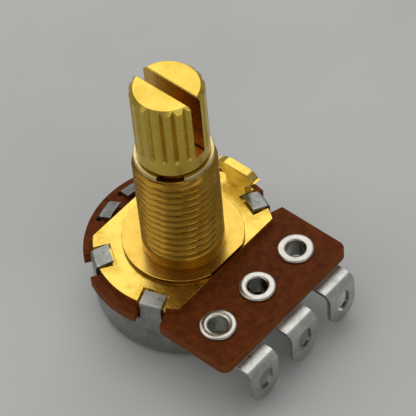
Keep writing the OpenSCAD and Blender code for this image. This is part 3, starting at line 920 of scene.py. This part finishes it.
@dataclass
class TerminalDeck:
    """The laminated board with its eyelets and solder lugs, and the prints on its back."""

    pitch: float = 5.0
    eyelet_y: float = 8.0
    board_r: float = 8.5
    square_half: float = 7.9
    corner_r: float = 0.8
    board_rounding: float = 0.045
    hub_hole_r: float = 3.2
    slot_r: float = 7.92
    eyelet_bore_r: float = 0.85
    eyelet_wall: float = 0.22
    eyelet_rim_r: float = 1.55
    eyelet_rim_h: float = 0.28
    eyelet_roll: float = 0.45
    eyelet_play: float = 0.01
    lug_w: float = 3.2
    lug_t: float = 0.4
    lug_rounding: float = 0.05
    bend_r: float = 0.4
    bend_steps: int = 8
    eye_w: float = 1.6
    eye_h: float = 2.3
    eye_rim: float = 1.15
    outline_steps: int = 128
    prints: tuple[tuple[str, Finish], ...] = (
        ("carbon_track", CARBON), ("collector_print", SILVER),
        ("end_print_left", SILVER), ("end_print_right", SILVER))

    def board(self) -> bpy.types.Object:
        """Make the board: round behind, square in front, with holes and notches.

        Returns:
            The board.
        """
        span = Span.of("terminal_board")
        half, end, c = self.square_half, span.low.y, self.corner_r
        side = math.degrees(math.acos(half / self.board_r))
        outline = arc(self.board_r, -side, 180 + side, self.outline_steps)
        outline += arc(c, 180, 270, 8, (-half + c, end + c))
        outline += arc(c, 270, 360, 8, (half - c, end + c))
        board = Solid.prism(outline, span.low.z, span.high.z)
        low, top = span.low.z - PAST, span.high.z + PAST
        hub_hole = [(self.hub_hole_r, z) for z in (low, top)]
        board.cut(Solid.turned(hub_hole, 72, closed=False))
        for terminal in Side:
            board.cut(self.eyelet_hole(low, top, terminal.value * self.pitch, -self.eyelet_y))
        for angle in PLATE_TABS:
            board.cut(tab_way(angle, low, top))
        for angle in BOARD_TABS:
            board.cut(tab_way(angle, low, top, outer=self.slot_r))
        board.bevel(self.board_rounding)
        return board.place("laminated_board", Body.HOUSING, "terminal_board", BOARD)

    def eyelet_hole(self, low: float, high: float, x: float, y: float) -> Solid:
        """A pin between two levels that cuts the hole of an eyelet at a place."""
        rings = [(self.eyelet_bore_r + self.eyelet_wall + self.eyelet_play, z) for z in (low, high)]
        return Solid.turned(rings, 48, closed=False).moved(Matrix.Translation((x, y, 0)))

    def eyelet(self, side: Side) -> bpy.types.Object:
        """Make one eyelet with a rolled rim on each side.

        Args:
            side: Which terminal it belongs to.

        Returns:
            The eyelet.
        """
        node = f"eyelet_{side.name.lower()}"
        span = Span.of(node)
        bore, rim, deep = self.eyelet_bore_r, self.eyelet_rim_r, self.eyelet_rim_h
        half, roll = (rim - bore) / 2, self.eyelet_roll * deep
        # Radius and depth below the face, from the bore over the roll to the wall
        lip = [(bore + half + half * x, roll * (1 - y)) for x, y in arc(1, 180, 0, 14)]
        lip += [(rim - 0.05, 0.8 * deep), (rim - 0.2, deep), (bore + self.eyelet_wall, deep)]
        profile: list[Ring] = [(r, span.high.z - depth) for r, depth in lip]
        profile += [(r, span.low.z + depth) for r, depth in reversed(lip)]
        eyelet = Solid.turned(profile, 64, closed=True)
        eyelet.moved(Matrix.Translation((side.value * self.pitch, -self.eyelet_y, 0)))
        return eyelet.place(f"rolled_{node}", Body.HOUSING, node, EYELET)

    def terminal(self, side: Side) -> bpy.types.Object:
        """Make one terminal from a flat blank that is bent down at the board's edge.

        Args:
            side: Which terminal it is.

        Returns:
            The terminal.
        """
        name = side.name.lower()
        span = Span.of(f"terminal_{name}")
        half, half_t = self.lug_w / 2, self.lug_t / 2
        bend_y = span.low.y + self.bend_r + self.lug_t
        bend_z = span.high.z - self.lug_t - self.bend_r
        middle_r = self.bend_r + half_t
        bend_len = middle_r * math.pi / 2
        flat_end = -bend_y
        lug_end = flat_end + bend_len + (bend_z - span.low.z)
        blank = Solid.prism(obround(half, self.eyelet_y, lug_end - half, 24), -half_t, half_t)
        blank.cut(self.eyelet_hole(-PAST, PAST, 0, self.eyelet_y))
        eye_end = lug_end - self.eye_rim - self.eye_w / 2
        eye = obround(self.eye_w / 2, eye_end - (self.eye_h - self.eye_w), eye_end, 20)
        blank.cut(Solid.prism(eye, -PAST, PAST))
        blank.bevel(self.lug_rounding)
        steps = self.bend_steps
        blank.sliced([flat_end + bend_len * i / steps for i in range(steps + 1)])

        def bend(spot: Vector) -> Vector:
            """Bend the blank at one corner.

            Args:
                spot: The corner on the flat blank.

            Returns:
                Its place on the bent lug.
            """
            along = spot.y - flat_end
            if along <= 0:
                return Vector((spot.x, -spot.y, span.high.z - half_t + spot.z))
            turn = min(along / bend_len, 1.0) * math.pi / 2
            past = max(0.0, along - bend_len)
            r = middle_r + spot.z
            return Vector((spot.x, bend_y - r * math.sin(turn), bend_z + r * math.cos(turn) - past))

        blank.mapped(bend)
        blank.moved(Matrix.Translation((side.value * self.pitch, 0, 0)))
        return blank.place(f"solder_lug_{name}", Body.HOUSING, f"terminal_{name}", TINNED_LUG)

    def build(self) -> list[bpy.types.Object]:
        """Make the board, its eyelets and its terminals, and dress the prints on its back.

        Returns:
            The pieces.
        """
        pieces = [self.board()]
        for side in Side:
            pieces += [self.eyelet(side), self.terminal(side)]
        return pieces + [dress(node, finish) for node, finish in self.prints]


@dataclass
class RearCan:
    """The drawn can with its folded tabs, its window and its lanced stop."""

    outer_r: float = 7.9
    edge_r: float = 0.9
    floor_r: float = 3.0
    rim: float = -2.25
    rounding: float = 0.045
    tab_w: float = 1.9
    tab_crease: float = 0.1
    plate_springs: tuple[float, ...] = (0.16, 0.34, 0.02, 0.32)
    board_spring: float = 0.36
    plate_root: float = 6.3
    board_top: float = -1.15
    flat_gap: float = 0.25
    window_half: float = 6.85
    window_y: float = -6.15
    window_depth: float = 1.01
    stop_w: float = 2.4
    stop_y: float = 5.6
    stop_h: float = 1.5
    steps: int = 132
    tab_steps: int = 72

    def cup(self, low: float) -> Solid:
        """Make the drawn cup.

        Args:
            low: Level of the can's back.

        Returns:
            The rounded cup with its window and its lanced stop.
        """
        t, outer = SHEET, self.outer_r
        centre = (outer - self.edge_r, low + self.edge_r)
        profile: list[Ring] = [(self.floor_r, low)]
        profile += arc(self.edge_r, -90, 0, 10, centre)
        profile += [(outer, self.rim), (outer - t, self.rim)]
        profile += arc(self.edge_r - t, 0, -90, 8, centre)
        profile.append((self.floor_r, low + t))
        cup = Solid.turned(profile, self.steps, closed=False)
        cup.cut(Solid.box((-self.window_half, -2 * outer, self.rim - self.window_depth),
                          (self.window_half, self.window_y, self.rim + PAST)))
        half, near = self.stop_w / 2, -self.stop_y + t / 2
        cup.cut(Solid.box((-half, near, low - PAST), (half, near + self.stop_h, low + PAST)))
        cup.fuse(Solid.box((-half, near - t, low + t / 2), (half, near, low + t + self.stop_h)))
        return cup.bevel(self.rounding)

    def tab(self, angle: float, root: float, top: float, spring: float) -> Solid:
        """Make one tab that rises from the wall and is folded inwards.

        Args:
            angle: Direction of the tab in degrees.
            root: Distance of its end from the axis.
            top: Level of its upper face.
            spring: How far its end has sprung back up.

        Returns:
            The rounded tab; its foot reaches into the wall just below the rim's own rounding.
        """
        t, outer, crease = SHEET, self.outer_r, self.tab_crease
        inner = outer - t
        foot = self.rim - 2 * self.rounding
        profile: list[Ring] = [(inner, foot), (outer, foot)]
        profile += arc(t, 0, 90, 8, (inner, top - t))
        profile += [(root, top + spring), (root, top - t + spring), (inner - crease, top - t),
                    (inner, top - t - crease)]
        ring = Solid.turned(profile, self.tab_steps, closed=True)
        half = self.tab_w / 2
        strip = Solid.box((root - t, -half, foot - t), (outer + t, half, top + 2 * t))
        return ring.keep(strip).bevel(self.rounding).moved(swung(angle))

    def build(self) -> list[bpy.types.Object]:
        """Make the can as one piece.

        Returns:
            The can in a list.
        """
        can = self.cup(Span.of("rear_can").low.z)
        for angle, spring in zip(PLATE_TABS, self.plate_springs):
            can.add(self.tab(angle, self.plate_root, PLATE_TOP, spring))
        for angle in BOARD_TABS:
            a = math.radians(angle)
            edge = BACK_FLAT + self.flat_gap + self.tab_w / 2 * abs(math.cos(a))
            can.add(self.tab(angle, edge / math.sin(a), self.board_top + SHEET, self.board_spring))
        return [can.place("drawn_can", Body.HOUSING, "rear_can", TINNED_CAN)]


@dataclass
class Spindle:
    """The knurled split shaft and what turns with it."""

    shaft_r: float = 3.0
    neck_r: float = 2.5
    groove_r: float = 2.15
    tail_r: float = 2.0
    tail_flat: float = 1.5
    stake_r: float = 2.4
    stake_t: float = 0.4
    stake_crown: tuple[Point, ...] = ((0.25, 0), (0.06, 0.08), (0, 0.2))
    hub_top: float = -1.2
    bushing_end: float = 10.0
    shoulder: float = 10.65
    shoulder_bevel: float = 0.12
    knurl_low: float = 12.0
    knurl_fade: float = 0.3
    knurl_depth: float = 0.28
    teeth: int = 18
    steps_per_tooth: int = 22
    fade_shares: tuple[float, ...] = (0.25, 0.5, 0.75, 1.0)
    tooth_rows: int = 6
    tip_bevel: float = 0.35
    slot_w: float = 1.1
    slot_len: float = 6.0
    slot_corner: float = 0.12
    slot_lead: float = 0.08
    ring_r: float = 3.3
    ring_play: float = 0.02
    ring_gap: float = 40
    ring_dir: float = -144
    ring_rounding: float = 0.1

    def knurl(self, limit: float, share: float) -> Callable[[float], float]:
        """Radius of the knurled surface round one level.

        Args:
            limit: Largest radius there.
            share: Part of the full groove depth reached there.

        Returns:
            The radius as a function of the angle.
        """
        step = 2 * math.pi / self.teeth

        def radius(angle: float) -> float:
            """Radius at an angle, with the grooves between the teeth."""
            away = abs((angle / step) % 1.0 - 0.5) * step * self.shaft_r
            return min(limit, self.shaft_r - max(0.0, self.knurl_depth - away) * share)

        return radius

    def tail(self, angle: float) -> float:
        """Radius of the flatted tail at an angle."""
        across = abs(math.sin(angle))
        return self.tail_r if across < 1e-6 else min(self.tail_r, self.tail_flat / across)

    def shaft(self) -> bpy.types.Object:
        """Make the shaft from its staked head to its knurled, split tip.

        Returns:
            The shaft.
        """
        span = Span.of("shaft")
        low, tip = span.low.z, span.high.z
        head, full, neck, groove = low + self.stake_t, self.shaft_r, self.neck_r, self.groove_r
        rings: list[Ring] = [(self.stake_r - inward, low + up) for inward, up in self.stake_crown]
        rings += [(self.stake_r, head), (self.tail, head), (self.tail, self.hub_top),
                  (neck, self.hub_top), (neck, self.bushing_end), (groove, self.bushing_end),
                  (groove, self.shoulder), (full - self.shoulder_bevel, self.shoulder),
                  (full, self.shoulder + self.shoulder_bevel), (full, self.knurl_low)]
        for share in self.fade_shares:
            rings.append((self.knurl(full, share), self.knurl_low + self.knurl_fade * share))
        edge, start = tip - self.tip_bevel, self.knurl_low + self.knurl_fade
        for i in range(1, self.tooth_rows + 1):
            rings.append((self.knurl(full, 1), start + (edge - start) * i / self.tooth_rows))
        for share in self.fade_shares:
            drop = self.tip_bevel * share
            rings.append((self.knurl(full - drop, 1), edge + drop))
        shaft = Solid.turned(rings, self.teeth * self.steps_per_tooth, closed=False)
        shaft.cut(self.split(tip))
        return shaft.place("knurled_shaft", Body.SPINDLE, "shaft", GILT_SHAFT)

    def split(self, tip: float) -> Solid:
        """Make the blade that cuts the shaft's split, with eased corners and a lead at its mouth.

        Args:
            tip: Level of the shaft's tip.

        Returns:
            The blade.
        """
        half, floor, ease = self.slot_w / 2, tip - self.slot_len, self.slot_corner
        mouth, over = tip - self.slot_lead, 0.1
        wide = half + self.slot_lead + over
        outline = [(-half, floor + ease), (-half + ease, floor), (half - ease, floor),
                   (half, floor + ease), (half, mouth), (wide, tip + over), (-wide, tip + over),
                   (-half, mouth)]
        reach = self.shaft_r + PAST
        return Solid.prism(outline, -reach, reach).moved(UPRIGHT)

    def ring(self) -> bpy.types.Object:
        """Make the open retaining ring.

        Returns:
            The ring.
        """
        span = Span.of("retaining_ring")
        start = self.ring_dir + self.ring_gap / 2
        end = self.ring_dir + 360 - self.ring_gap / 2
        outline = arc(self.ring_r, start, end, 72)
        outline += arc(self.groove_r + self.ring_play, end, start, 72)
        ring = Solid.prism(outline, span.low.z, span.high.z).bevel(self.ring_rounding, 3)
        return ring.place("open_ring", Body.SPINDLE, "retaining_ring", RING)

    def build(self) -> list[bpy.types.Object]:
        """Make the shaft and ring, and dress the rotor and wiper inside the can."""
        return [self.shaft(), self.ring(), dress("rotor", MOULDED), dress("wiper", BRONZE)]


def direction(azimuth: float, elevation: float) -> Vector:
    """Unit vector towards a viewer, who stands at -Y at azimuth 0 and at +X at 90 degrees."""
    a, e = math.radians(azimuth), math.radians(elevation)
    return Vector((math.sin(a) * math.cos(e), -math.cos(a) * math.cos(e), math.sin(e)))


@dataclass(frozen=True)
class Lamp:
    """A soft rectangular lamp aimed at the object."""

    name: str
    azimuth: float
    elevation: float
    distance: float
    width: float
    height: float
    watts: float

    def build(self, target: Vector) -> None:
        """Hang the lamp.

        Args:
            target: The point that it is aimed at, in metres.
        """
        light = bpy.data.lights.new(self.name, "AREA")
        light.shape = "RECTANGLE"
        light.size = self.width
        light.size_y = self.height
        light.energy = self.watts
        lamp = hang(self.name, light)
        back = direction(self.azimuth, self.elevation)
        lamp.location = target + back * self.distance
        lamp.rotation_mode = "QUATERNION"
        lamp.rotation_quaternion = (-back).to_track_quat("-Z", "Y")


@dataclass
class Studio:
    """Pale floor, soft lamps and the camera at the photograph's angle."""

    camera_azimuth: float = -44.07
    camera_elevation: float = 50.67
    camera_distance: float = 0.1926
    camera_roll: float = -5.7
    camera_lower: float = 0.001
    lens: float = 200.0
    floor_size: float = 6.0
    horizon: Colour = (0.40, 0.405, 0.395)
    wall: Colour = (0.25, 0.25, 0.245)
    ceiling: Colour = (0.36, 0.365, 0.37)
    bands: Colour = (0.06, 0.2, 0.6)
    lamps: tuple[Lamp, ...] = (
        Lamp("key", 138, 55, 0.45, 0.48, 0.48, 1.0),
        Lamp("far_fill", -140, 50, 0.5, 0.4, 0.4, 0.30),
        Lamp("front_fill", -15, 28, 0.5, 0.5, 0.4, 0.36),
    )

    def room(self) -> bpy.types.World:
        """Light the room: a pale band at the horizon, and softer walls that brighten overhead.

        Returns:
            The world.
        """
        world = bpy.data.worlds.new("studio")
        world.use_nodes = True
        sheet = NodeSheet(world.node_tree, "Background", "Generated")
        sheet.feed("Color", sheet.tones(sheet.part("Z"), self.bands, self.horizon, self.wall,
                                        self.ceiling))
        return world

    def floor(self, level: float) -> None:
        """Lay the floor under the object.

        Args:
            level: Height of the floor in metres.
        """
        half = self.floor_size / 2
        corners = [(x * half, y * half, level) for x, y in ((-1, -1), (1, -1), (1, 1), (-1, 1))]
        mesh = bpy.data.meshes.new("floor")
        mesh.from_pydata(corners, [], [(0, 1, 2, 3)])
        mesh.materials.append(PALE_FLOOR.material())
        floor = hang("floor", mesh)
        floor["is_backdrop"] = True

    def camera(self, target: Vector) -> None:
        """Set the camera.

        Args:
            target: The point in the middle of the view, in metres.
        """
        data = bpy.data.cameras.new("camera")
        data.lens = self.lens
        data.clip_start = 0.005
        data.clip_end = 20
        camera = hang("camera", data)
        stand = direction(self.camera_azimuth, self.camera_elevation) * self.camera_distance
        aim = (target - stand).to_track_quat("-Z", "Y")
        camera.location = stand
        camera.rotation_mode = "QUATERNION"
        camera.rotation_quaternion = aim @ Quaternion((0, 0, 1), math.radians(self.camera_roll))
        bpy.context.scene.camera = camera

    def build(self, low: Vector, high: Vector) -> None:
        """Set up everything round the object.

        Args:
            low: Lowest corner of the object in metres.
            high: Its highest corner.
        """
        bpy.context.scene.view_settings.view_transform = "Standard"
        bpy.context.scene.world = self.room()
        self.floor(low.z)
        middle = (low + high) / 2
        for lamp in self.lamps:
            lamp.build(middle)
        self.camera(middle - Vector((0.0, self.camera_lower, 0.0)))
        LOG.info("studio set round the object")


def main() -> None:
    """Build the studio and each sub-assembly, and report what was made."""
    logging.basicConfig(level=logging.INFO, format="%(name)s: %(message)s")
    cad_low, cad_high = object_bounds()
    Studio().build(cad_low, cad_high)
    for assembly in (FrontHousing(), TerminalDeck(), RearCan(), Spindle()):
        pieces = assembly.build()
        LOG.info("%s: %d pieces", type(assembly).__name__, len(pieces))


if __name__ == "__main__":
    main()
